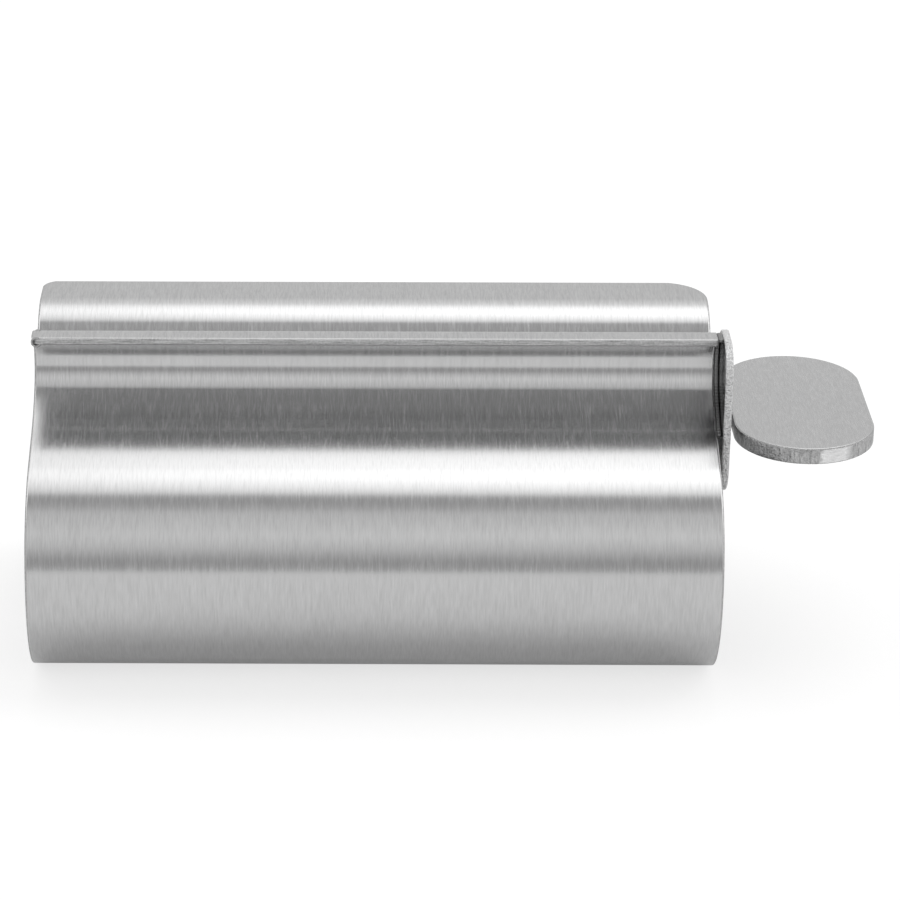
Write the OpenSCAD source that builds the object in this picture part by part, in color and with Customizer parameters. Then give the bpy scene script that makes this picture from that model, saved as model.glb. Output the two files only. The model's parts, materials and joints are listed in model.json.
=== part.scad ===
// Toothpaste dispenser: a bent steel shell with a slot along its top and a key that
// winds a toothpaste tube up from its tail.
// The origin is the middle of the flat foot. +X points to the thumb plate, +Y to the
// back and +Z up. The key is drawn with its thumb plate level and its slit upright.

/* [Shell] */
// Length of the shell along the key
shell_len = 90; // [70:1:120]
// Thickness of the sheet
sheet_t = 1; // [0.6:0.1:1.5]
// Width of the flat foot, front to back
foot_w = 24.2; // [16:0.2:36]
// Radius of the belly, to the middle of the sheet
belly_r = 14.1; // [10:0.1:18]
// Height of the upright stretch between the two belly bends
belly_rise = 0.8; // [0.2:0.1:4]
// Angle from upright through which the shell turns in over the belly
shoulder_turn = 70; // [66:1:74]
// Length of the straight shoulder
shoulder_len = 7.3; // [6:0.1:9]
// Radius of the neck's wide bend above the shoulder, to the middle of the sheet
neck_foot_r = 17; // [14:0.1:20]
// Angle of the neck's wide bend
neck_foot_turn = 23; // [18:1:28]
// Radius of the hollow neck above its wide bend, to the middle of the sheet
neck_r = 5.4; // [4.8:0.1:6]
// Angle from upright at which the hollow neck leans forward where it meets the lip
neck_lean = 47; // [30:1:55]

/* [Lip] */
// Length of the lip in front of its bend
lip_len = 2.5; // [1:0.1:8]
// Radius of the lip's bend, to the middle of the sheet
lip_bend_r = 0.8; // [0.7:0.1:2]
// Radius of the curled corner at the lip's left end
lip_curl_r = 0.72; // [0.5:0.01:1]
// Length of the curled corner
lip_curl_len = 3; // [1:0.1:4]
// How far the curled corner stands proud of the lip's top and front
lip_curl_proud = 0.1; // [0.05:0.05:0.4]

/* [Rear flange] */
// Upright stretch at the back of the slot, between the neck and the tight bend
guide_rise = 0.4; // [0.1:0.1:4]
// Radius of the tight bend at the back of the slot, to the middle of the sheet
guide_bend_r = 1.16; // [0.8:0.01:4]
// Radius of the wide bend over which the tube leans, to the middle of the sheet
guide_roll_r = 7.3; // [4:0.1:12]
// Angle of the tight bend; the wide bend turns the rest of the way to level
guide_turn = 49; // [20:1:70]
// Length of the straight slope between the tight bend and the wide one
guide_slope = 1.4; // [0.5:0.1:4]
// Length of the level flange behind the wide bend
flange_len = 6.1; // [5:0.1:14]
// Corner radius of the flange at the left
flange_left_r = 2.3; // [1:0.1:5]
// Corner radius of the flange at the right
flange_right_r = 6; // [1:0.1:6]

/* [Side plates] */
// Thickness of the side plates
plate_t = 1; // [0.6:0.1:2]
// Gap between the shell's right end and the right plate, filled by weld
plate_gap = 0.7; // [0.4:0.1:1.5]
// Reach of the right plate in front of the key's axis
plate_front = 11.5; // [9.5:0.1:16]
// Reach of the right plate behind the key's axis
plate_rear = 9.5; // [8:0.1:14]
// Reach of the right plate below the key's axis
plate_below = 8.5; // [7:0.1:14]
// Height of the right plate's rear edge above the key's axis
plate_rear_rise = 3.2; // [2:0.1:6]
// Radius of the right plate's top front corner
plate_top_r = 4.2; // [1:0.1:5]
// Radius of the right plate's top rear corner
plate_crest_r = 2; // [1:0.1:3]
// Radius of the right plate's other corners
plate_low_r = 4.5; // [2:0.1:5]
// Radius of the left plate, which closes the throat round the key's tip
left_plate_r = 9; // [6:0.1:11]
// Depth of the left plate inside the shell's left end
left_plate_inset = 0.5; // [0.2:0.1:4]
// Clearance between the left plate and the sheet round it
left_plate_clearance = 0.1; // [0.05:0.01:0.2]
// Thickness of the weld beads that hold the side plates
bead_t = 0.8; // [0.4:0.1:1.2]
// Angle of the neck's wide bend that the right plate's rear bead follows
right_bead_turn = 14; // [6:1:20]
// Angle of the hollow neck that the left plate's two beads follow
left_bead_turn = 20; // [5:1:32]

/* [Key] */
// Height of the key's axis above the foot
key_z = 30.7; // [29.5:0.1:30.9]
// Diameter of the split shaft
shaft_d = 5; // [4:0.1:6]
// Radial clearance between the shaft and its bearing holes
shaft_clearance = 0.06; // [0.02:0.01:0.1]
// Width of the slit that holds the tube's tail
slit_w = 1.6; // [1:0.1:2]
// Solid length of the shaft between the slit's end and the right plate
slit_margin = 7; // [3:0.5:20]
// Chamfer at the shaft's tip
tip_chamfer = 0.5; // [0.2:0.1:0.8]
// Gap between the right plate and the thumb plate
thumb_gap = 0.8; // [0.2:0.1:1.5]
// Length of the thumb plate, across the key's axis
thumb_l = 33.4; // [24:0.2:44]
// Width of the thumb plate, whose ends are half circles
thumb_w = 18.4; // [14:0.1:22]
// Thickness of the thumb plate
thumb_t = 2.2; // [1.5:0.1:3]
// Reach of the weld that joins the thumb plate to the shaft
key_weld = 0.5; // [0.4:0.1:1.2]

/* [Hidden] */
steel = [0.74, 0.74, 0.75];
plate_steel = [0.66, 0.66, 0.67];
key_steel = [0.7, 0.7, 0.71];
weld_steel = [0.58, 0.57, 0.55];
// Degrees between two points along a bend
bend_step = 3;
// Overshoot of a cutting body past the face that it cuts
over = 1;
// Facets in a full circle
facets = 48;

// A pose is [y, z, heading]; the heading is in degrees from +Y towards +Z.
// A straight move is [length]; a bend is [radius, angle], turning left if positive.
function last(list) = list[len(list) - 1];
function ahead(pose, length) =
    [pose[0] + length * cos(pose[2]), pose[1] + length * sin(pose[2]), pose[2]];
function around(pose, radius, angle) =
    let (side = sign(angle) * 90)
    let (centre = ahead([pose[0], pose[1], pose[2] + side], radius))
    let (edge = ahead([centre[0], centre[1], pose[2] - side + angle], radius))
    [edge[0], edge[1], pose[2] + angle];
function move(pose, step) =
    let (count = len(step) == 1 ? 1 : max(1, ceil(abs(step[1]) / bend_step)))
    [for (i = [1:count]) len(step) == 1 ? ahead(pose, step[0]) : around(pose, step[0], step[1] * i / count)];
function walk(pose, steps, i = 0) =
    i == len(steps) ? [pose] : concat([pose], walk_on(move(pose, steps[i]), steps, i));
function walk_on(poses, steps, i) =
    concat([for (k = [0:1:len(poses) - 2]) poses[k]], walk(last(poses), steps, i + 1));
// Points at a distance to the left of a path
function beside(poses, distance) =
    [for (p = poses) [p[0] - distance * sin(p[2]), p[1] + distance * cos(p[2])]];
function reversed(list) = [for (i = [len(list) - 1:-1:0]) list[i]];
function mirrored(points) = [for (p = points) [-p[0], p[1]]];
// Both halves start at the foot's centre, so the rear half leaves that point out
function behind_foot(points) = [for (i = [1:len(points) - 1]) points[i]];
// Outline of a strip of even thickness along a path
function strip(poses, thickness) =
    concat(beside(poses, thickness / 2), reversed(beside(poses, -thickness / 2)));

// Moves from the foot's centre forward, up over the belly and up to the top of the neck
shoulder_steps = [[foot_w / 2], [belly_r, -90], [belly_rise], [belly_r, -shoulder_turn], [shoulder_len]];
neck_steps = [[neck_foot_r, neck_foot_turn], [neck_r, shoulder_turn - neck_foot_turn]];
lip_steps = [[neck_r, neck_lean], [lip_bend_r, 90 - neck_lean], [lip_len]];
guide_bends = [[guide_rise], [guide_bend_r, guide_turn], [guide_slope], [guide_roll_r, 90 - guide_turn]];
guide_steps = concat(guide_bends, [[flange_len]]);
foot_centre = [0, sheet_t / 2, 180];
shoulder_path = walk(foot_centre, shoulder_steps);
// Where the beads that don't reach down to the shoulder begin
bead_start = last(walk(last(shoulder_path), [[neck_foot_r, neck_foot_turn / 2]]));
body_path = walk(foot_centre, concat(shoulder_steps, neck_steps));
front_path = walk(foot_centre, concat(shoulder_steps, neck_steps, lip_steps));
// The rear half is worked out on the front side and then mirrored
rear_path = walk(foot_centre, concat(shoulder_steps, neck_steps, guide_steps));
lip_front = last(front_path)[0];
lip_top = last(front_path)[1] + sheet_t / 2;
flange_rear = -last(rear_path)[0];
flange_top = last(rear_path)[1] + sheet_t / 2;
slot_face = -last(body_path)[0] - sheet_t / 2;
right_end = shell_len / 2;
plate_inner = right_end + plate_gap;
plate_outer = plate_inner + plate_t;
left_plate_x = -right_end + left_plate_inset;
bore_r = shaft_d / 2 + shaft_clearance;
shaft_end = plate_outer + thumb_gap;

// Points of an arc about [y, z]
function arc(centre, radius, from, to) =
    let (count = max(1, ceil(abs(to - from) / bend_step)))
    [for (i = [0:count])
        let (a = from + (to - from) * i / count)
        [centre[0] + radius * cos(a), centre[1] + radius * sin(a)]];
// Outline through corners [y, z, radius], each rounded, listed anticlockwise
function rounded(corners) =
    [for (i = [0:len(corners) - 1])
        each fillet(corners[(i + len(corners) - 1) % len(corners)], corners[i], corners[(i + 1) % len(corners)])];
function fillet(before, corner, after) =
    let (in_angle = atan2(corner[1] - before[1], corner[0] - before[0]))
    let (out_angle = atan2(after[1] - corner[1], after[0] - corner[0]))
    let (turn = (out_angle - in_angle + 360) % 360)
    let (back = corner[2] * tan(turn / 2))
    let (start = ahead([corner[0], corner[1], in_angle], -back))
    let (centre = ahead([start[0], start[1], in_angle + 90], corner[2]))
    arc([centre[0], centre[1]], corner[2], in_angle - 90, in_angle - 90 + turn);

// Draws an outline in the YZ plane and gives it a thickness from x to x + depth
module slab(outline, x, depth) {
    translate([x, 0, 0])
        rotate([90, 0, 90])
            linear_extrude(height = depth)
                polygon(outline);
}

module rod(radius, from, to) {
    translate([from, 0, key_z])
        rotate([0, 90, 0])
            cylinder(r = radius, h = to - from, $fn = facets);
}

// Removes what lies outside a round corner of the flange, at the end x
module flange_corner(x, radius) {
    translate([x, flange_rear, flange_top - 2 * sheet_t])
        mirror([x > 0 ? 1 : 0, 0, 0])
            difference() {
                translate([-over, -radius, 0])
                    cube([radius + over, radius + over, 3 * sheet_t]);
                translate([radius, -radius, -over])
                    cylinder(r = radius, h = 3 * sheet_t + 2 * over, $fn = facets);
            }
}

module shell() {
    outside = concat(
        reversed(beside(front_path, sheet_t / 2)),
        behind_foot(mirrored(beside(rear_path, sheet_t / 2)))
    );
    inside = concat(
        reversed(beside(front_path, -sheet_t / 2)),
        behind_foot(mirrored(beside(rear_path, -sheet_t / 2)))
    );
    color(steel) {
        difference() {
            slab(concat(outside, reversed(inside)), -right_end, shell_len);
            flange_corner(-right_end, flange_left_r);
            flange_corner(right_end, flange_right_r);
        }
        lip_curl();
    }
}

// The lip's left corner, curled into a small bead so that it has no sharp point
module lip_curl() {
    translate([-right_end + lip_curl_r, lip_front - lip_curl_proud, lip_top - lip_curl_r + lip_curl_proud])
        rotate([-90, 0, 0])
            cylinder(r = lip_curl_r, h = lip_curl_len, $fn = facets);
}

module right_side_plate() {
    outline = rounded([
        [-plate_front, key_z - plate_below, plate_low_r],
        [plate_rear, key_z - plate_below, plate_low_r],
        [plate_rear, key_z + plate_rear_rise, plate_low_r],
        [-slot_face - sheet_t, lip_top, plate_crest_r],
        [-plate_front, lip_top, plate_top_r],
    ]);
    color(plate_steel)
        difference() {
            slab(outline, plate_inner, plate_t);
            rod(bore_r, plate_inner - over, plate_outer + over);
        }
}

// Lies in the throat of the shell, so it is a disc cut by the hollow's outline
module left_side_plate() {
    hollow = beside(body_path, -sheet_t / 2 - left_plate_clearance);
    color(plate_steel)
        difference() {
            intersection() {
                rod(left_plate_r, left_plate_x, left_plate_x + plate_t);
                slab(concat(hollow, reversed(mirrored(hollow))), left_plate_x - over, plate_t + 2 * over);
            }
            rod(bore_r, left_plate_x - over, left_plate_x + plate_t + over);
        }
}

// Beads that fill the gap between the shell's end and the right plate
module right_plate_welds() {
    front = strip(walk(last(shoulder_path), concat(neck_steps, lip_steps)), bead_t);
    rear = strip(walk(bead_start, [[neck_foot_r, right_bead_turn]]), bead_t);
    color(weld_steel) {
        slab(front, right_end, plate_gap);
        slab(mirrored(rear), right_end, plate_gap);
    }
}

// Beads in the corners between the left plate and the two sides of the neck
module left_plate_welds() {
    seam = walk(bead_start, [[neck_foot_r, neck_foot_turn / 2], [neck_r, left_bead_turn]]);
    near = beside(seam, -sheet_t / 2);
    far = beside(seam, -sheet_t / 2 - bead_t);
    bead = concat(near, reversed(far));
    color(weld_steel) {
        slab(bead, left_plate_x + plate_t, bead_t);
        slab(mirrored(bead), left_plate_x + plate_t, bead_t);
    }
}

module split_shaft() {
    color(key_steel)
        difference() {
            union() {
                rod(shaft_d / 2, -right_end + tip_chamfer, shaft_end);
                translate([-right_end, 0, key_z])
                    rotate([0, 90, 0])
                        cylinder(r1 = shaft_d / 2 - tip_chamfer, r2 = shaft_d / 2, h = tip_chamfer, $fn = facets);
            }
            translate([-right_end - over, -slit_w / 2, key_z - shaft_d])
                cube([shell_len + plate_gap - slit_margin + over, slit_w, 2 * shaft_d]);
        }
}

module thumb_plate() {
    end_r = thumb_w / 2;
    end_y = thumb_l / 2 - end_r;
    outline = concat(arc([0, end_y], end_r, 0, 180), arc([0, -end_y], end_r, 180, 360));
    color(key_steel)
        translate([shaft_end + end_r, 0, key_z - thumb_t / 2])
            linear_extrude(height = thumb_t)
                polygon(outline);
}

// Weld over and under the thumb plate where it butts against the shaft's end
module thumb_plate_weld() {
    color(weld_steel)
        difference() {
            translate([shaft_end, 0, key_z])
                rotate([0, 90, 0])
                    cylinder(r1 = shaft_d / 2, r2 = thumb_t / 2, h = key_weld, $fn = facets);
            translate([shaft_end - over, -shaft_d, key_z - thumb_t / 2])
                cube([key_weld + 2 * over, 2 * shaft_d, thumb_t]);
        }
}

shell();
right_side_plate();
left_side_plate();
right_plate_welds();
left_plate_welds();
split_shaft();
thumb_plate();
thumb_plate_weld();
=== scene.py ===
import json
import math

import bpy
import numpy as np
from mathutils import Matrix, Vector


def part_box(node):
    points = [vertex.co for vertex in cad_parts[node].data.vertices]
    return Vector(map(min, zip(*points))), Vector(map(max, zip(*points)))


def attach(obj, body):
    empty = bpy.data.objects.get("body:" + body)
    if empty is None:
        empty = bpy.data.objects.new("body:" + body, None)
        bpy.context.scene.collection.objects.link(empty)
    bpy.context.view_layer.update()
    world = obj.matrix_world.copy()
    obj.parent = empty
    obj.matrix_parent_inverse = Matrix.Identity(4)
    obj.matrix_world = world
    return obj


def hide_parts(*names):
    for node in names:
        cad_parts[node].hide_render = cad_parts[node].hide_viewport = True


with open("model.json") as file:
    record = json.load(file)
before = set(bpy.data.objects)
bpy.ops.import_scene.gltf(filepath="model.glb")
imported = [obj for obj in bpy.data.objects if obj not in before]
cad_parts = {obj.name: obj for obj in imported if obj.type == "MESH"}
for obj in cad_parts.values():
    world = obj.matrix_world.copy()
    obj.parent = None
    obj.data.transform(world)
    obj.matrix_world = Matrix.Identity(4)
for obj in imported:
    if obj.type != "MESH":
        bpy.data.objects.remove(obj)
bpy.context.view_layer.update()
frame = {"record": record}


# Camera
# A long lens looks down on the lip from in front, 23 degrees above level and half a degree from the
# right. It is aimed left of the shell's middle, and the shift puts the object in the picture's middle.
aim = Vector((-0.007, -0.0208, 0.0318))
look_down = math.radians(23.0)
look_turn = math.radians(0.47)
look_distance = 0.455
camera_data = bpy.data.cameras.new("camera")
camera_data.sensor_width = 36.0
camera_data.lens = 141.6
camera_data.shift_x = 0.1444
camera_data.shift_y = 0.0111
camera_data.clip_start = 0.01
camera = bpy.data.objects.new("camera", camera_data)
turned = Matrix.Rotation(look_turn, 4, "Z") @ Matrix.Rotation(math.pi / 2 - look_down, 4, "X")
camera.matrix_world = Matrix.Translation(aim) @ turned @ Matrix.Translation((0.0, 0.0, look_distance))
bpy.context.scene.collection.objects.link(camera)
bpy.context.scene.camera = camera
bpy.context.scene.view_settings.view_transform = "Standard"


# Studio light
# A strip light hangs over the object along its length, with a pale wall behind and a dim room in
# front. Each pair is an angle, from the front horizon over the top to the rear one, and a brightness.
room_levels = [
    (0, 0.64), (3, 0.5), (6.5, 0.44), (11, 0.43), (14.5, 0.5), (18, 0.58), (24, 0.71), (31, 0.81), (37, 0.88),
    (42, 0.84), (51, 0.77), (61, 0.71), (66, 0.55), (71, 0.46), (77, 0.43), (80, 0.56), (84, 1.1), (91, 1.48),
    (102, 1.85), (112, 1.85), (122, 1.52), (127, 1.2), (133, 1.0), (146, 0.83), (155, 0.72), (180, 0.7),
]
ramp_top = 2.0
fade_start = 0.06
fade_rate = 12.0
fade_depth = 0.75
fade_above = 0.72


class Wire:
    """A socket in a node tree. Sums, differences, products and quotients on it add Math nodes."""

    def __init__(self, tree, socket=None):
        self.tree = tree
        self.socket = socket

    def node(self, kind, settings=None, sockets=None, output=0):
        """Adds a node of a type, with its settings first and then its sockets, and gives one output."""
        made = self.tree.nodes.new(kind)
        for name, value in (settings or {}).items():
            if name == "stops":
                ramp = made.color_ramp.elements
                while len(ramp) < len(value):
                    ramp.new(1.0)
                for element, (position, level) in zip(ramp, value):
                    element.position = position
                    element.color = (level, level, level, 1.0)
            else:
                setattr(made, name, value)
        for name, value in (sockets or {}).items():
            self.feed(made.inputs[name], value)
        return Wire(self.tree, made.outputs[output]) if len(made.outputs) else made

    def feed(self, socket, value):
        """Links a wire to a socket, or sets the socket to a plain value."""
        if isinstance(value, Wire):
            self.tree.links.new(value.socket, socket)
        else:
            socket.default_value = value

    def maths(self, operation, a, b=0.0):
        """Adds a Math node that works on two wires or values."""
        return self.node("ShaderNodeMath", {"operation": operation}, {0: a, 1: b})

    def __add__(self, other):
        return self.maths("ADD", self, other)

    def __radd__(self, other):
        return self.maths("ADD", other, self)

    def __sub__(self, other):
        return self.maths("SUBTRACT", self, other)

    def __rsub__(self, other):
        return self.maths("SUBTRACT", other, self)

    def __mul__(self, other):
        return self.maths("MULTIPLY", self, other)

    def __rmul__(self, other):
        return self.maths("MULTIPLY", other, self)

    def __truediv__(self, other):
        return self.maths("DIVIDE", self, other)


world = bpy.data.worlds.new("studio")
world.use_nodes = True
world.node_tree.nodes.clear()
bpy.context.scene.world = world
sky = Wire(world.node_tree)
way = sky.node("ShaderNodeTexCoord", output="Generated")
leftward = sky.node("ShaderNodeSeparateXYZ", sockets={0: way}, output="X") * -1.0
forward = sky.node("ShaderNodeSeparateXYZ", sockets={0: way}, output="Y") * -1.0
upward = sky.node("ShaderNodeSeparateXYZ", sockets={0: way}, output="Z")
half_turns = sky.maths("ARCTAN2", upward, forward) / math.pi
glow = sky.node(
    "ShaderNodeValToRGB",
    {"stops": [(angle / 180, level / ramp_top) for angle, level in room_levels]},
    {"Fac": half_turns},
)
# The strip light ends a little beyond the object's left end
beyond = sky.node(
    "ShaderNodeMath",
    {"operation": "MULTIPLY", "use_clamp": True},
    {0: leftward - fade_start, 1: fade_rate},
)
dim = sky.maths("MINIMUM", glow, fade_above / ramp_top)
glow = dim + (glow - dim) * (1 - beyond * fade_depth)
camera_ray = sky.node("ShaderNodeLightPath", output="Is Camera Ray")
glass_ray = sky.node("ShaderNodeLightPath", output="Is Transmission Ray")
room = sky.node("ShaderNodeBackground", sockets={"Color": glow, "Strength": ramp_top})
paper = sky.node("ShaderNodeBackground", sockets={"Color": (1.0, 1.0, 1.0, 1.0), "Strength": 1.0})
seen = sky.node("ShaderNodeMixShader", sockets={0: camera_ray + glass_ray, 1: room, 2: paper})
sky.node("ShaderNodeOutputWorld", sockets={"Surface": seen})


# Floor
# White paper, lit by the room, so that it holds the object's soft shadow. It glows a little, and more
# where the camera looks at it, so that it shows as white there.
floor_half = 1.6
floor_matt = 0.8
floor_glow = 0.1
seen_matt = 0.4
seen_glow = 0.69
floor_corners = [(-1, -1), (1, -1), (1, 1), (-1, 1)]
floor_places = [(x * floor_half, y * floor_half, 0.0) for x, y in floor_corners]
floor_mesh = bpy.data.meshes.new("floor")
floor_mesh.from_pydata(floor_places, [], [(0, 1, 2, 3)])
floor = bpy.data.objects.new("floor", floor_mesh)
bpy.context.scene.collection.objects.link(floor)
floor_paper = bpy.data.materials.new("floor_paper")
floor_paper.use_nodes = True
floor_paper.node_tree.nodes.clear()
paper_wire = Wire(floor_paper.node_tree)
straight_ray = paper_wire.node("ShaderNodeLightPath", output="Is Camera Ray")
glossy_ray = paper_wire.node("ShaderNodeLightPath", output="Is Glossy Ray")
clear_ray = paper_wire.node("ShaderNodeLightPath", output="Is Transmission Ray")
white = floor_matt + straight_ray * (seen_matt - floor_matt)
shown = (straight_ray + clear_ray) * seen_glow + glossy_ray * floor_glow
matt = paper_wire.node("ShaderNodeBsdfDiffuse", sockets={"Color": white})
shine = paper_wire.node("ShaderNodeEmission", sockets={"Color": (1.0, 1.0, 1.0, 1.0), "Strength": shown})
both = paper_wire.node("ShaderNodeAddShader", sockets={0: matt, 1: shine})
paper_wire.node("ShaderNodeOutputMaterial", sockets={"Surface": both})
floor_mesh.materials.append(floor_paper)


# Shell
# One strip of stainless sheet, folded over a lip, drawn in to a hollow neck, rounded out to a belly
# and a flat foot, and brought up again at the back to a wide flange. The sheet is brushed round the
# bends, so the lines run down the front, and its sheared edges are a little rounded.
sheet_thickness = 0.001
lip_length = 0.0025
# Radii run to the middle of the sheet, and angles are in degrees
lip_bend_r = 0.0008
neck_lean = 47
neck_r = 0.0054
neck_foot_r = 0.017
neck_foot_turn = 23
shoulder_length = 0.0073
shoulder_turn = 70
belly_r = 0.0141
belly_rise = 0.0008
foot_length = 0.0242
guide_rise = 0.0004
guide_bend_r = 0.00116
guide_turn = 49
guide_slope = 0.0014
guide_roll_r = 0.0073
flange_length = 0.0061
edge_round = 0.00018
edge_torn = edge_round * 0.05
corner_front = 0.0003
corner_curl = 0.0012
corner_left = 0.0023
corner_right = 0.006
shell_low, shell_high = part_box("shell")


def straight(length):
    """A straight stretch of the sheet's path, as its length and its turn, which is none."""
    return length, 0.0


def bend(radius, angle):
    """A bend of the path, as its length and its turn. Its length is the radius times the turn, and an angle
    in degrees that is positive turns to the left of the way ahead."""
    return radius * math.radians(abs(angle)), math.radians(angle)


shell_steps = [
    straight(lip_length),
    bend(lip_bend_r, neck_lean - 90),
    bend(neck_r, neck_foot_turn - shoulder_turn - neck_lean),
    bend(neck_foot_r, -neck_foot_turn),
    straight(shoulder_length),
    bend(belly_r, shoulder_turn),
    straight(belly_rise),
    bend(belly_r, 90),
    straight(foot_length),
    bend(belly_r, 90),
    straight(belly_rise),
    bend(belly_r, shoulder_turn),
    straight(shoulder_length),
    bend(neck_foot_r, -neck_foot_turn),
    bend(neck_r, neck_foot_turn - shoulder_turn),
    straight(guide_rise),
    bend(guide_bend_r, -guide_turn),
    straight(guide_slope),
    bend(guide_roll_r, guide_turn - 90),
    straight(flange_length),
]
lengths_so_far = np.cumsum([step[0] for step in shell_steps])


def along(steps, start, distances):
    """Points and headings at distances along a path of straights and bends in the YZ plane. Within a step
    of curvature k, the chord to distance d is d sin(kd/2) / (kd/2), at the start's heading plus kd/2."""
    lengths = np.array([step[0] for step in steps])
    turns = np.array([step[1] for step in steps])
    begins = np.concatenate([[0.0], np.cumsum(lengths)])
    headings = start[2] + np.concatenate([[0.0], np.cumsum(turns)])
    middle = headings[:-1] + turns / 2
    chords = lengths * np.sinc(turns / 2 / math.pi)
    ys = start[0] + np.concatenate([[0.0], np.cumsum(chords * np.cos(middle))])
    zs = start[1] + np.concatenate([[0.0], np.cumsum(chords * np.sin(middle))])
    step = np.clip(np.searchsorted(begins, distances, side="right") - 1, 0, len(steps) - 1)
    run = distances - begins[step]
    half = turns[step] / lengths[step] * run / 2
    chord = run * np.sinc(half / math.pi)
    mean = headings[step] + half
    return ys[step] + chord * np.cos(mean), zs[step] + chord * np.sin(mean), headings[step] + 2 * half


def distances_along(steps, near_ends, degrees_apart=1.25, run_apart=0.0009, least=4e-6):
    """Distances along a path: at most so many degrees apart on bends, at least two steps on each straight,
    and extra ones near both ends. One that lies too close to the one before it is left out."""
    total = sum(step[0] for step in steps)
    begin = 0.0
    parts = [near_ends, total - near_ends]
    for length, angle in steps:
        count = max(3, int(math.degrees(abs(angle)) / degrees_apart) + 1, int(length / run_apart))
        parts.append(begin + np.linspace(0.0, length, count))
        begin += length
    every = np.sort(np.concatenate(parts))
    return every[np.concatenate([[True], np.diff(every) > least])], total


def fillet_drop(distance, radius):
    """How far a quarter round of a radius falls short of the full reach, at a distance from the end."""
    gap = np.clip(radius - distance, 0.0, radius)
    return radius - np.sqrt(np.maximum(radius**2 - gap**2, 0.0))


# The path starts at the origin and is then moved, so that its front and its foot touch the shell's box
unmoved = along(shell_steps, (0.0, 0.0, 0.0), np.linspace(0, sum(step[0] for step in shell_steps), 4000))
path_y = shell_low.y + sheet_thickness / 2 - unmoved[0].min()
path_z = shell_low.z + sheet_thickness / 2 - unmoved[1].min()


def sheet_path(distances):
    """Points and headings along the middle of the sheet, from the lip's front edge to the flange's rear."""
    return along(shell_steps, (path_y, path_z, 0.0), distances)


def add_attribute(mesh, name, values):
    """Gives each point of a mesh a number of its own, which the material reads by the attribute's name."""
    layer = mesh.attributes.new(name, "FLOAT", "POINT")
    layer.data.foreach_set("value", np.asarray(values, dtype=np.float32))


def grid_mesh(name, *grids):
    """A mesh from grids of rows by columns, each closed along its columns. A grid's first and last rows are
    closed by joining each column to its mirror column, or to each other where the rows close too."""
    places, quads, cuts, first = [], [], [], 0
    for points, cut, closed in grids:
        rows, columns, _ = points.shape
        index = first + np.arange(rows * columns).reshape(rows, columns)
        lower, upper = (index, np.roll(index, -1, 0)) if closed else (index[:-1], index[1:])
        band = np.stack([lower, np.roll(lower, -1, 1), np.roll(upper, -1, 1), upper], -1)
        quads.append(band.reshape(-1, 4))
        if not closed:
            half = np.arange(columns // 2 - 1)
            mirror = columns - 1 - half
            for ring, order in ((index[0], 1), (index[-1], -1)):
                end = np.stack([ring[half], ring[mirror], ring[mirror - 1], ring[half + 1]], -1)
                quads.append(end[:, ::order])
        places.append(points.reshape(-1, 3))
        cuts.append(np.broadcast_to(cut, (rows, columns)).reshape(-1))
        first += rows * columns
    faces = np.concatenate(quads)
    mesh = bpy.data.meshes.new(name)
    mesh.vertices.add(first)
    mesh.vertices.foreach_set("co", np.concatenate(places).reshape(-1).astype(np.float32))
    mesh.loops.add(len(faces) * 4)
    mesh.loops.foreach_set("vertex_index", faces.reshape(-1).astype(np.int32))
    mesh.polygons.add(len(faces))
    mesh.polygons.foreach_set("loop_start", np.arange(0, len(faces) * 4, 4, dtype=np.int32))
    mesh.polygons.foreach_set("use_smooth", np.ones(len(faces), dtype=bool))
    add_attribute(mesh, "cut", np.concatenate(cuts))
    mesh.update(calc_edges=True)
    mesh.validate()
    piece = bpy.data.objects.new(name, mesh)
    bpy.context.scene.collection.objects.link(piece)
    return piece


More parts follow.
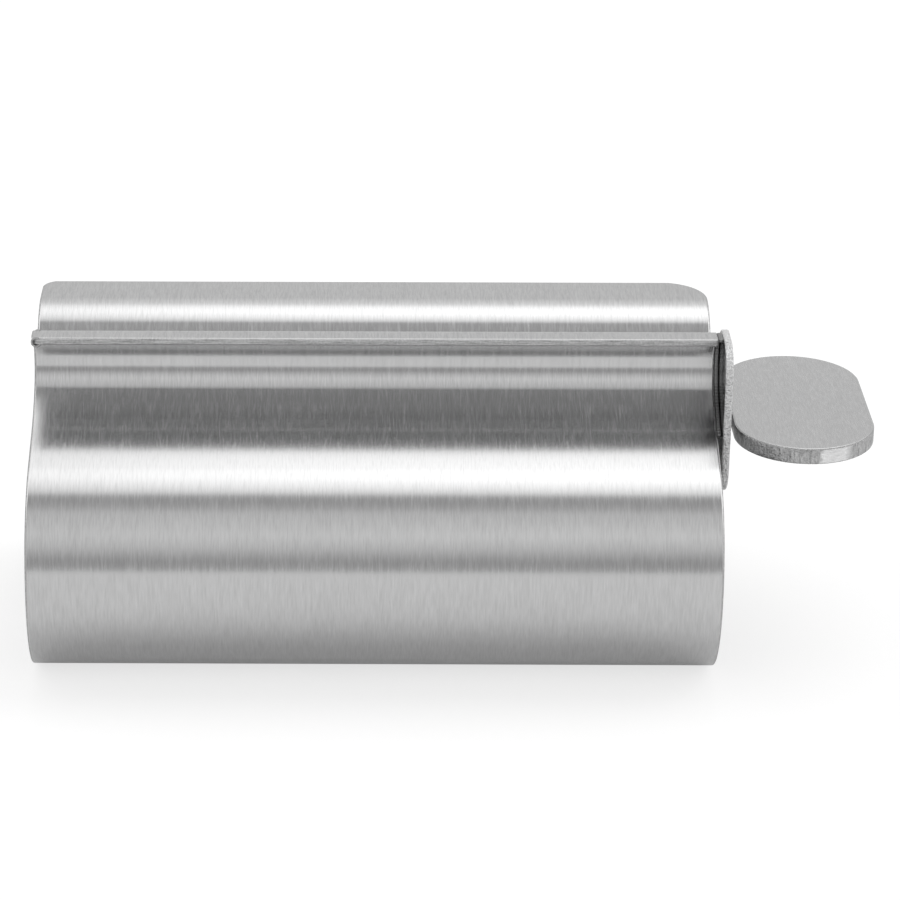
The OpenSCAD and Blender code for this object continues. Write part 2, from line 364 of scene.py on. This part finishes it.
def shell_grid(round_points=5, face_points=30, first_share=0.0012, next_share=0.02):
    """The sheet as a loop carried along its path. The loop is a rectangle, one sheet thick and as long as the
    shell, with quarter rounds at its corners. Near both ends of the path the thickness falls off as a quarter
    round does, and the length falls off as the corners of the lip and the flange do."""
    edge_rows = 1 - np.cos(np.linspace(0, math.pi / 2, 6))
    corner_rows = 1 - np.cos(np.linspace(0, math.pi / 2, 22))
    radii = (corner_front, corner_curl, corner_left, corner_right)
    near_ends = np.concatenate([edge_rows * edge_round] + [corner_rows * radius for radius in radii])
    where, total = distances_along(shell_steps, np.append(near_ends, edge_round * 1.6))
    y, z, heading = sheet_path(where)
    half_thick = sheet_thickness / 2 - fillet_drop(where, edge_round) - fillet_drop(total - where, edge_round)
    left = shell_low.x + fillet_drop(where, corner_curl) + fillet_drop(total - where, corner_left)
    right = shell_high.x - fillet_drop(where, corner_front) - fillet_drop(total - where, corner_right)
    turn = np.linspace(0, math.pi / 2, round_points)
    out = edge_round * np.sin(turn)
    drop = edge_round - edge_round * np.cos(turn)
    spread = np.concatenate([
        [0.0, first_share], np.linspace(next_share, 1 - next_share, face_points), [1 - first_share, 1.0],
    ])
    face = len(spread)
    ends = 2 * round_points
    share = np.concatenate([spread, np.ones(ends), spread[::-1], np.zeros(ends)])
    inset = np.concatenate([
        (1 - 2 * spread) * edge_round, out - edge_round, out[::-1] - edge_round,
        (1 - 2 * spread[::-1]) * edge_round, edge_round - out, edge_round - out[::-1],
    ])
    side = np.repeat([1, -1, 1], [face + round_points, face + ends, round_points])
    fall = np.concatenate([np.zeros(face), drop, drop[::-1], np.zeros(face), drop, drop[::-1]])
    across = side[None] * (half_thick[:, None] - fall[None])
    points = np.zeros((len(where), len(share), 3))
    points[..., 0] = left[:, None] + (right - left)[:, None] * share[None] + inset[None]
    points[..., 1] = y[:, None] - across * np.sin(heading)[:, None]
    points[..., 2] = z[:, None] + across * np.cos(heading)[:, None]
    cut = np.ones(points.shape[:2])
    cut[:, :face] = 0
    cut[:, face + ends : 2 * face + ends] = 0
    cut[where < edge_torn] = 1
    cut[total - where < edge_torn] = 1
    return points, cut, False


# The lip's left corner is rolled up into a small bead, so that it can't scratch a hand
curl_r = 0.00072
curl_length = 0.003
curl_proud = 0.0001
curl_nose = 0.00012
curl_hollow = 0.00048
curl_dent = 0.04
curl_lean = 0.00004
pole_r = 1e-5


def curl_grid():
    """Rings about an axis along Y. From the back the radius rises at once, stays, rounds over at the front
    and falls in to a hollow, while waves of the angle dent the front."""
    turn = np.linspace(0, math.pi / 2, 7)
    nose = curl_r - curl_nose + curl_nose * np.cos(turn)
    hollow_r = curl_hollow * np.array([1.12, 1.0, 0.96, 0.9, 0.02])
    hollow_depth = [0.00002, 0.00008, 0.0005, 0.0013, 0.0014]
    radius = np.concatenate([[pole_r], np.full(5, curl_r), nose, hollow_r])
    barrel = np.linspace(curl_length, curl_nose * 1.5, 5)
    depth = np.concatenate([[curl_length], barrel, curl_nose - curl_nose * np.sin(turn), hollow_depth])
    angle = (np.arange(48) + 0.5) / 48 * 2 * math.pi
    front = (depth < curl_nose)[:, None]
    dent = np.where(front, 1 - curl_dent + curl_dent * np.sin(angle * 2 + 0.7)[None], 1.0)
    y, z, _ = sheet_path(np.array([0.0]))
    points = np.zeros((len(radius), len(angle), 3))
    points[..., 0] = shell_low.x + curl_r + radius[:, None] * dent * np.cos(angle)[None]
    points[..., 1] = y[0] - curl_proud + depth[:, None] + curl_lean * (1 + np.sin(angle + 1.2))[None] * front
    axis_z = z[0] + sheet_thickness / 2 + curl_proud - curl_r
    points[..., 2] = axis_z + radius[:, None] * dent * np.sin(angle)[None]
    return points, (radius < curl_r * 0.97)[:, None] * (depth < 0.001)[:, None], False


line_tone = 0.48
patch_tone = 0.04
tear_tone = 0.9
# How far the painted highlight on the thumb plate's rim lifts the colour, and how much its level lines swing
# it
highlight_paint_tone = 0.65
highlight_streak_tone = 0.9
blue_lean = 1.003
coarse_line = 0.48
line_height = 0.0000003
grit_scale = 3800.0
grit_rough = 0.5
scratch_scale = (900.0, 900.0, 7000.0)


def steel(name, tone, rough, swing, fine, anisotropy, cut_tone, cut_rough, cut_height, grain):
    """Brushed stainless steel. Lines across X come from noise that changes fast along X and slowly along Y
    and Z. They swing the roughness, the tone and the height. Where the attribute cut is 1, the metal is a
    sheared edge: rougher and torn into grains, which are stretched along the slow axis of the grain. Where
    the attribute ground is 1, the colour is lifted to a painted highlight streaked with level lines, and the
    torn grains are left out."""
    material = bpy.data.materials.new(name)
    material.use_nodes = True
    material.node_tree.nodes.clear()
    wire = Wire(material.node_tree)
    place = wire.node("ShaderNodeTexCoord", output="Object")

    def noise(scale, detail):
        """Noise from 0 to 1 over the piece's own coordinates, each of them multiplied by its scale first."""
        scaled = wire.node("ShaderNodeVectorMath", {"operation": "MULTIPLY"}, {0: place, 1: scale}, "Vector")
        sockets = {"Vector": scaled, "Scale": 1.0, "Detail": detail, "Roughness": 0.6}
        return wire.node("ShaderNodeTexNoise", sockets=sockets, output="Fac")

    hair = noise((fine, fine / 11, fine / 11), 2.0)
    band = noise((fine / 4, fine / 24, fine / 24), 1.0)
    patch = noise((fine / 80, fine / 120, fine / 120), 1.0)
    streak = hair * 0.8 + band * 0.2
    cut = wire.node("ShaderNodeAttribute", {"attribute_name": "cut"}, output="Fac")
    ground = wire.node("ShaderNodeAttribute", {"attribute_name": "ground"}, output="Fac")
    scratch = noise(scratch_scale, 2.0)
    grit = noise((grit_scale, grit_scale, grit_scale), 2.0)
    tear = noise(grain, 1.0)
    flat = 1 - cut
    level = flat * (1 + (streak - 0.5) * line_tone + (patch - 0.5) * patch_tone)
    level = level + cut * (cut_tone + (1 - ground) * ((grit - 0.5) * tear_tone + (tear - 0.5) * tear_tone))
    # Painted highlight on the thumb plate's rim: the colour is lifted there and streaked with level lines
    level = level + ground * (highlight_paint_tone + (scratch - 0.5) * highlight_streak_tone)
    shade = level * tone
    tint = {0: shade, 1: shade, 2: shade * blue_lean}
    colour = wire.node("ShaderNodeCombineColor", sockets=tint, output="Color")
    coarse = wire.maths("MAXIMUM", streak - coarse_line, 0.0)
    roughness = flat * (rough + coarse * swing) + cut * (cut_rough + (grit - 0.5) * grit_rough)
    height = flat * streak * line_height + cut * (grit + tear) * cut_height
    relief = {"Height": height, "Strength": 1.0, "Distance": 1.0}
    principled = wire.node("ShaderNodeBsdfPrincipled", sockets={
        "Base Color": colour,
        "Metallic": 1.0,
        "Roughness": roughness,
        "Anisotropic": anisotropy,
        "Normal": wire.node("ShaderNodeBump", sockets=relief, output="Normal"),
    })
    wire.node("ShaderNodeOutputMaterial", sockets={"Surface": principled})
    return material


def finish_piece(piece, material, body, node):
    """Gives a piece its material, hides the part of model.glb that it stands in for, and hangs it from its
    body's empty. Its texture space is flattened so that the shader's own tangent, which brushed metal
    follows, runs along X."""
    piece.data.use_auto_texspace = False
    piece.data.texspace_location = (0.0, 1.0, 0.0)
    piece.data.texspace_size = (0.1, 0.01, 0.1)
    piece.data.materials.append(material)
    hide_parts(node)
    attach(piece, body)


shell_steel = steel(
    "shell_steel", tone=0.6, rough=0.185, swing=0.3, fine=5200.0, anisotropy=0.65,
    cut_tone=0.85, cut_rough=0.45, cut_height=0.00006, grain=(450.0, 4000.0, 6000.0),
)
shell = grid_mesh("brushed_shell", shell_grid(), curl_grid())
finish_piece(shell, shell_steel, "body", "shell")


# Right side plate
# An upright ear of sheet, punched out and not trimmed after: its faces are smooth and its rim is torn and
# rough. On top of that the rim's colour is lifted well above the faces', a painted sheen for the light its
# torn grains catch from above. It stands outside the shell's right end, and the key turns in its bore.
plate_thickness = 0.001
right_low, right_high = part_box("right_side_plate")
key_z = frame["record"]["behaviour"]["joints"][0]["pos_m"][2]
bore_r = 0.00256
plate_crest_y = -0.00307
plate_rear_rise = 0.0032
plate_top_r = 0.0042
plate_crest_r = 0.002
plate_low_r = 0.0045
outline_step = 0.00011
right_rim_round = 0.0002
right_tear = 0.00006
right_seed = 11


def rounded_outline(corners, spacing):
    """Points round a shape of corners [y, z, radius], anticlockwise, each corner an arc, with points a
    spacing apart on the arcs and on the straights between them."""
    spots = np.array([corner[:2] for corner in corners])
    radii = np.array([corner[2] for corner in corners])
    before = spots - np.roll(spots, 1, axis=0)
    heading_in = np.arctan2(before[:, 1], before[:, 0])
    turn = (np.roll(heading_in, -1) - heading_in) % (2 * math.pi)
    back = radii * np.tan(turn / 2)
    parts = []
    for spot, radius, heading, bending, reach in zip(spots, radii, heading_in, turn, back):
        ahead = np.array([math.cos(heading), math.sin(heading)])
        centre = spot - reach * ahead + radius * np.array([-ahead[1], ahead[0]])
        angle = heading - math.pi / 2 + np.linspace(0, bending, max(6, int(bending * radius / spacing)))
        parts.append(centre + radius * np.stack([np.cos(angle), np.sin(angle)], -1))
    joined = []
    for part, after in zip(parts, parts[1:] + parts[:1]):
        gap = after[0] - part[-1]
        count = max(2, int(np.hypot(*gap) / spacing))
        joined += [part, part[-1] + gap * np.linspace(0, 1, count, endpoint=False)[1:, None]]
    return np.concatenate(joined)


def outward(outline):
    """Unit vectors square to an anticlockwise outline, from the points on both sides of each point."""
    tangent = np.roll(outline, -1, axis=0) - np.roll(outline, 1, axis=0)
    tangent /= np.linalg.norm(tangent, axis=1)[:, None]
    return np.stack([tangent[:, 1], -tangent[:, 0]], -1)


def torn(rows, columns, seed):
    """Seeded noise from 0 to 1 for a rim's rings. Most of it is the same across the rim, as punching
    leaves it."""
    random = np.random.default_rng(seed)
    noise = 0.6 * random.random((1, columns)) + 0.4 * random.random((rows, columns))
    return (noise + np.roll(noise, 1, axis=1)) / 2


def rim_profile(rounding, thickness, margin=1.8):
    """Insets and levels across a rim: a quarter round, the flat of the rim, and a quarter round. On both
    faces one more ring keeps the faces flat, a margin of roundings inside the rim."""
    turn = np.linspace(0, math.pi / 2, 4)
    inset = rounding * (1 - np.sin(turn))
    rise = rounding * (1 - np.cos(turn))
    flat = np.linspace(rounding, thickness - rounding, 5)[1:4]
    insets = np.concatenate([[rounding * margin], inset, np.zeros(3), inset[::-1], [rounding * margin]])
    levels = np.concatenate([[0.0], rise, flat, thickness - rise[::-1], [thickness]])
    return insets, levels


def torn_rings(outline, insets, rounding, tear, seed):
    """Rings inside an outline, one for each inset. Noise moves those that form the rim further in."""
    in_rim = (insets < rounding * 0.9)[:, None]
    ragged = np.where(in_rim, torn(len(insets), len(outline), seed) * tear, 0.0)
    return outline[None] - outward(outline)[None] * (insets[:, None] + ragged)[..., None]


def plate_grid(outline, x, rounding, tear, seed):
    """A flat plate with a bore as a ring of rings. A profile runs from the bore over one face, round the
    rim and back over the other face. Each point of the bore lies on the line from its axis to the rim."""
    angle = np.arctan2(outline[:, 1] - key_z, outline[:, 0])
    spoke = np.stack([np.cos(angle), np.sin(angle)], -1)
    insets, levels = rim_profile(rounding, plate_thickness)
    rim = torn_rings(outline, insets, rounding, tear, seed)
    bore_insets, bore_levels = rim_profile(rounding / 2, plate_thickness)
    wall = np.array([0.0, key_z]) + spoke[None] * (bore_r + bore_insets)[:, None, None]
    points = np.zeros((len(levels) + len(bore_levels), len(outline), 3))
    points[..., 0] = x + np.concatenate([levels, bore_levels[::-1]])[:, None]
    points[..., 1:] = np.concatenate([rim, wall])
    cut = np.zeros((len(points), 1))
    cut[1 : len(levels) - 1] = 1
    return points, cut, True


# cut_tone 1.68 is a painted sheen on the rims of both side plates: it lifts their colour well above the
# faces' in place of the light their torn grains catch from above
plate_steel = steel(
    "plate_steel", tone=0.45, rough=0.12, swing=0.3, fine=5000.0, anisotropy=0.0,
    cut_tone=1.68, cut_rough=0.4, cut_height=0.00026, grain=(2200.0, 2600.0, 2600.0),
)
right_outline = rounded_outline([
    [right_low.y, right_low.z, plate_low_r],
    [right_high.y, right_low.z, plate_low_r],
    [right_high.y, key_z + plate_rear_rise, plate_low_r],
    [plate_crest_y, right_high.z, plate_crest_r],
    [right_low.y, right_high.z, plate_top_r],
], outline_step)
right_rings = plate_grid(right_outline, right_low.x, right_rim_round, right_tear, right_seed)
right_plate = grid_mesh("right_ear", right_rings)
finish_piece(right_plate, plate_steel, "body", "right_side_plate")


# Left side plate
# A disc of the same sheet, trimmed to fit in the neck's throat half a millimetre inside the shell's
# left end. It carries the tip of the shaft, and its rim is cleaner than the right plate's.
left_low, left_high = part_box("left_side_plate")
throat_clearance = 0.0001
left_rim_round = 0.00008
left_tear = 0.00003
left_seed = 12
rear_neck_start = lengths_so_far[12]
rear_neck_end = lengths_so_far[14]


def throat_outline(count):
    """The disc's outline about the key. At each angle the radius is the smallest of the disc's own, the
    distance to the neck's inner side, and the distance to the level top."""
    y, z, heading = sheet_path(np.linspace(rear_neck_start, rear_neck_end, 400))
    reach = sheet_thickness / 2 + throat_clearance
    side_y = y - reach * np.sin(heading)
    side_z = z + reach * np.cos(heading) - key_z
    bearing = np.arctan2(side_z, side_y)
    angle = np.linspace(-math.pi, math.pi, count, endpoint=False)
    folded = np.arctan2(np.sin(angle), np.abs(np.cos(angle)))
    disc = left_high.y
    neck = np.interp(folded, bearing, np.hypot(side_y, side_z), left=disc, right=1.0)
    top = (left_high.z - key_z) / np.maximum(np.sin(angle), 1e-6)
    radius = np.minimum(np.minimum(disc, neck), np.where(top > 0, top, disc))
    return np.stack([radius * np.cos(angle), key_z + radius * np.sin(angle)], -1)


left_rings = plate_grid(throat_outline(720), left_low.x, left_rim_round, left_tear, left_seed)
left_plate = grid_mesh("left_ear", left_rings)
finish_piece(left_plate, plate_steel, "body", "left_side_plate")


# Welds of the side plates
# Short runs of weld without filler, dull and finely rippled. Beside the right plate they lie sunk in
# the gap between plate and sheet, and inside the left plate they fill the corner against the neck.
ripple_pitch = 0.00045
ripple_swing = 0.06
drift_swing = 0.12


def bead_grid(start, end, offsets, x, half_wide, half_thick, mirror, seed):
    """A flattened tube along the sheet's path. Its offset from the sheet's middle goes straight between the
    offsets given as distance and offset. Its thickness swings with the distance, as weld ripples do, and its
    width and thickness fall off as a half circle does at both ends."""
    distance = np.linspace(start, end, int((end - start) / ripple_pitch * 6))
    offset = np.interp(distance, *np.transpose(offsets))
    y, z, heading = sheet_path(distance)
    from_end = np.minimum(distance - start, end - distance)
    taper = np.sqrt(np.clip(1 - (1 - np.clip(from_end / half_thick, 0, 1)) ** 2, 0.02, 1))
    random = np.random.default_rng(seed)
    drift = np.interp(distance, np.linspace(start, end, 14), random.random(14))
    phase = distance / ripple_pitch * 2 * math.pi + 3 * drift
    ripple = 1 + ripple_swing * np.sin(phase) + drift_swing * (drift - 0.5)
    angle = (np.arange(24) + 0.5) / 24 * 2 * math.pi
    wide = np.sign(np.cos(angle)) * np.abs(np.cos(angle)) ** 0.5
    thick = np.sign(np.sin(angle)) * np.abs(np.sin(angle)) ** 0.8
    across = offset[:, None] + half_thick * (taper * ripple)[:, None] * thick[None]
    points = np.zeros((len(distance), len(angle), 3))
    points[..., 0] = x + half_wide * taper[:, None] * wide[None]
    points[..., 1] = (y[:, None] - across * np.sin(heading)[:, None]) * mirror
    points[..., 2] = z[:, None] + across * np.cos(heading)[:, None]
    return (points if mirror < 0 else points[:, ::-1]), 0.0, False


weld_steel = steel(
    "weld_steel", tone=0.26, rough=0.35, swing=0.7, fine=5000.0, anisotropy=0.0,
    cut_tone=1.0, cut_rough=0.5, cut_height=0.00002, grain=(3000.0, 3000.0, 3000.0),
)
right_half_wide = (right_low.x - shell_high.x) / 2
right_half_thick = 0.00025
right_x = shell_high.x + right_half_wide
sunk = [[lengths_so_far[1], 0.0002], [lengths_so_far[1] + 0.0015, 0.0005]]
front_seam = (0.0003, lengths_so_far[3])
rear_seam = (lengths_so_far[12] + neck_foot_r * math.radians(neck_foot_turn) / 2, lengths_so_far[13])
right_beads = grid_mesh(
    "right_ear_welds",
    bead_grid(*front_seam, sunk, right_x, right_half_wide, right_half_thick, mirror=1, seed=21),
    bead_grid(*rear_seam, sunk, right_x, right_half_wide, right_half_thick, mirror=1, seed=22),
)
finish_piece(right_beads, weld_steel, "body", "right_plate_welds")
left_half = 0.0004
left_out = left_half * 0.7
left_x = left_high.x + left_out
left_seam = (rear_seam[0], lengths_so_far[13] + neck_r * math.radians(20))
in_corner = [[0.0, sheet_thickness / 2 + left_out]]
left_beads = grid_mesh(
    "left_ear_welds",
    bead_grid(*left_seam, in_corner, left_x, left_half, left_half, mirror=1, seed=23),
    bead_grid(*left_seam, in_corner, left_x, left_half, left_half, mirror=-1, seed=24),
)
finish_piece(left_beads, weld_steel, "body", "left_plate_welds")


# Split shaft
# A turned rod, sawn down the middle from its tip so that the tube's tail slips in. The tip is chamfered
# and the solid end passes through the right plate.
shaft_low, shaft_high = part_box("split_shaft")
shaft_r = (shaft_high.z - shaft_low.z) / 2
slit_half = 0.0008
slit_end = 0.0387
tip_chamfer = 0.0005
saw_round = 0.00008
turned_edge = 0.00004
slit_overlap = 0.00002


def prong_grid(side):
    """One half of the sawn rod: an arc closed by a flat, carried along X. At the tip the radius is held to a
    cone. The corners between arc and flat are cut off by a little, with a point on each side of the cut."""
    widest = math.acos(slit_half / shaft_r) - saw_round / shaft_r
    arc = widest * (np.arange(24) + 0.5) / 24
    corner_z = math.sqrt(shaft_r**2 - slit_half**2)
    flat_z = (corner_z - saw_round) * (1 - np.concatenate([[0.0, 0.03], np.linspace(0.1, 0.98, 12)]))
    y = np.concatenate([shaft_r * np.cos(arc), np.full(len(flat_z), slit_half)])
    z = np.concatenate([shaft_r * np.sin(arc), flat_z])
    y = np.concatenate([y, y[::-1]])
    z = np.concatenate([z, -z[::-1]])
    tip = np.concatenate([[0.0, 0.00003], np.linspace(0.00008, tip_chamfer, 5)])
    x = shaft_low.x + np.concatenate([tip, np.linspace(tip_chamfer * 1.2, slit_end - shaft_low.x, 60)])
    limit = np.minimum(shaft_r, shaft_r - tip_chamfer + (x - shaft_low.x))
    limit[0] -= turned_edge
    scale = np.minimum(1.0, limit[:, None] / np.hypot(y, z)[None])
    held_y = np.maximum(y[None] * scale, slit_half)
    highest = np.sqrt(np.maximum(limit[:, None] ** 2 - held_y**2, 0))
    held_z = np.sign(z)[None] * np.minimum(np.abs(z)[None], highest)
    along_x = np.broadcast_to(x[:, None], held_y.shape)
    points = np.stack([along_x, side * held_y, key_z + side * held_z], -1)
    return points, 0.0, False


def shank_grid():
    """Rings of one radius from the slit's end to the thumb plate, a little smaller at both ends."""
    inner = np.linspace(slit_end - slit_overlap, shaft_high.x, 26)
    x = np.concatenate([
        inner[:1], inner[:1] + turned_edge, inner[1:-1], inner[-1:] - turned_edge, inner[-1:],
    ])
    radius = np.full(len(x), shaft_r)
    radius[[0, -1]] -= turned_edge
    angle = (np.arange(64) + 0.5) / 64 * 2 * math.pi
    points = np.zeros((len(x), len(angle), 3))
    points[..., 0] = x[:, None]
    points[..., 1] = radius[:, None] * np.cos(angle)[None]
    points[..., 2] = key_z + radius[:, None] * np.sin(angle)[None]
    return points, 0.0, False


key_steel = steel(
    "key_steel", tone=0.59, rough=0.2, swing=0.7, fine=6500.0, anisotropy=0.6,
    cut_tone=0.78, cut_rough=0.36, cut_height=0.0001, grain=(3000.0, 3000.0, 800.0),
)
shaft = grid_mesh("sawn_shaft", prong_grid(1), prong_grid(-1), shank_grid())
finish_piece(shaft, key_steel, "key", "split_shaft")


# Thumb plate
# A flat piece of thicker plate, stamped out with round ends. Its faces are finely brushed front to back,
# and its rim still has the upright marks of the stamp. One spot on the rim's front has a painted highlight
# in its colour, streaked with level lines.
thumb_low, thumb_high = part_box("thumb_plate")
thumb_round = 0.00022
thumb_tear = 0.00003
thumb_seed = 31
# The painted highlight on the rim's front: where it starts and ends, how it fades and how high it reaches
highlight_start = 0.0578
highlight_start_fade = 0.0003
highlight_start_wave = 0.0002
highlight_end = 0.0624
highlight_end_fade = 0.0012
highlight_half_height = 0.00095


def stadium_grid():
    """Rings of a stadium outline: straight sides between two half circles. A profile across the rim, with
    quarter rounds, insets the rings, and noise that hardly changes with the height tears the rim."""
    radius = (thumb_high.x - thumb_low.x) / 2
    middle = (thumb_high.x + thumb_low.x) / 2
    reach = (thumb_high.y - thumb_low.y) / 2 - radius
    swing = (np.arange(150) + 0.5) / 150 * math.pi / 2
    side = np.linspace(-reach, reach, 120)[1:-1]
    x = np.concatenate([radius * np.sin(swing), np.full(len(side), radius), radius * np.cos(swing)])
    y = np.concatenate([-reach - radius * np.cos(swing), side, reach + radius * np.sin(swing)])
    outline = np.stack([np.concatenate([x, -x[::-1]]), np.concatenate([y, y[::-1]])], -1)
    insets, levels = rim_profile(thumb_round, thumb_high.z - thumb_low.z)
    points = np.zeros((len(levels), len(outline), 3))
    rings = torn_rings(outline, insets, thumb_round, thumb_tear, thumb_seed)
    points[..., :2] = rings + np.array([middle, 0.0])
    points[..., 2] = thumb_low.z + levels[:, None]
    cut = ((levels > thumb_round * 0.3) & (levels < levels[-1] - thumb_round * 0.3)).astype(float)
    return points, cut[:, None], False


def painted_highlight_spot(points):
    """1 where the front of the rim gets a painted highlight and 0 elsewhere, fading at both ends of the spot.
    Its start waves with the height, and the rounded edges above and below it are left as they were."""
    x, y, z = points.reshape(-1, 3).T
    start = highlight_start + highlight_start_wave * np.sin(z * 9000)
    fade_in = np.clip((x - start) / highlight_start_fade, 0, 1)
    fade_out = np.clip((highlight_end - x) / highlight_end_fade, 0, 1)
    return fade_in * fade_out * (y < 0) * (np.abs(z - key_z) < highlight_half_height)


thumb_rings = stadium_grid()
thumb = grid_mesh("thumb_plate_finished", thumb_rings)
# This attribute marks the spot of the rim's painted highlight
add_attribute(thumb.data, "ground", painted_highlight_spot(thumb_rings[0]))
finish_piece(thumb, key_steel, "key", "thumb_plate")


# Weld of the thumb plate
# One short run of the same dull weld over the plate and one under it, where the plate butts against
# the shaft's end. They are domed, and stay within the shaft's round.
weld_low, weld_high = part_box("thumb_plate_weld")
dome_start = 0.98
dome_end = 1.06
dome_fall = 1.3
dome_ripple = 0.1
dome_root = 0.00003


def fillet_weld_grid(side):
    """A dome between the shaft's end and the plate. At each distance from the shaft the outline is the top of
    a circle whose radius falls from the shaft's towards half the plate's thickness, with a few ripples."""
    half_plate = (thumb_high.z - thumb_low.z) / 2
    share = np.linspace(0, 1, 10)
    radius = shaft_r * dome_start - (shaft_r * dome_start - half_plate * dome_end) * share**dome_fall
    width = np.sqrt(np.maximum(radius**2 - half_plate**2, 1e-9))
    spread = np.linspace(-1, 1, 34)
    y = width[:, None] * spread[None]
    top = np.sqrt(np.maximum(radius[:, None] ** 2 - y**2, half_plate**2))
    ripple = np.cos(y / ripple_pitch * 2 * math.pi + share[:, None] * 2)
    top = half_plate + (top - half_plate) * (1 - dome_ripple + dome_ripple * ripple)
    columns_y = np.concatenate([y, y[:, ::-1]], axis=1)
    columns_z = np.concatenate([top, np.full(top.shape, half_plate - dome_root)], axis=1)
    points = np.zeros(columns_y.shape + (3,))
    points[..., 0] = weld_low.x + (weld_high.x - weld_low.x) * share[:, None]
    points[..., 1] = -side * columns_y
    points[..., 2] = key_z + side * columns_z
    return points, 0.0, False


thumb_weld = grid_mesh("thumb_plate_beads", fillet_weld_grid(1), fillet_weld_grid(-1))
finish_piece(thumb_weld, weld_steel, "key", "thumb_plate_weld")
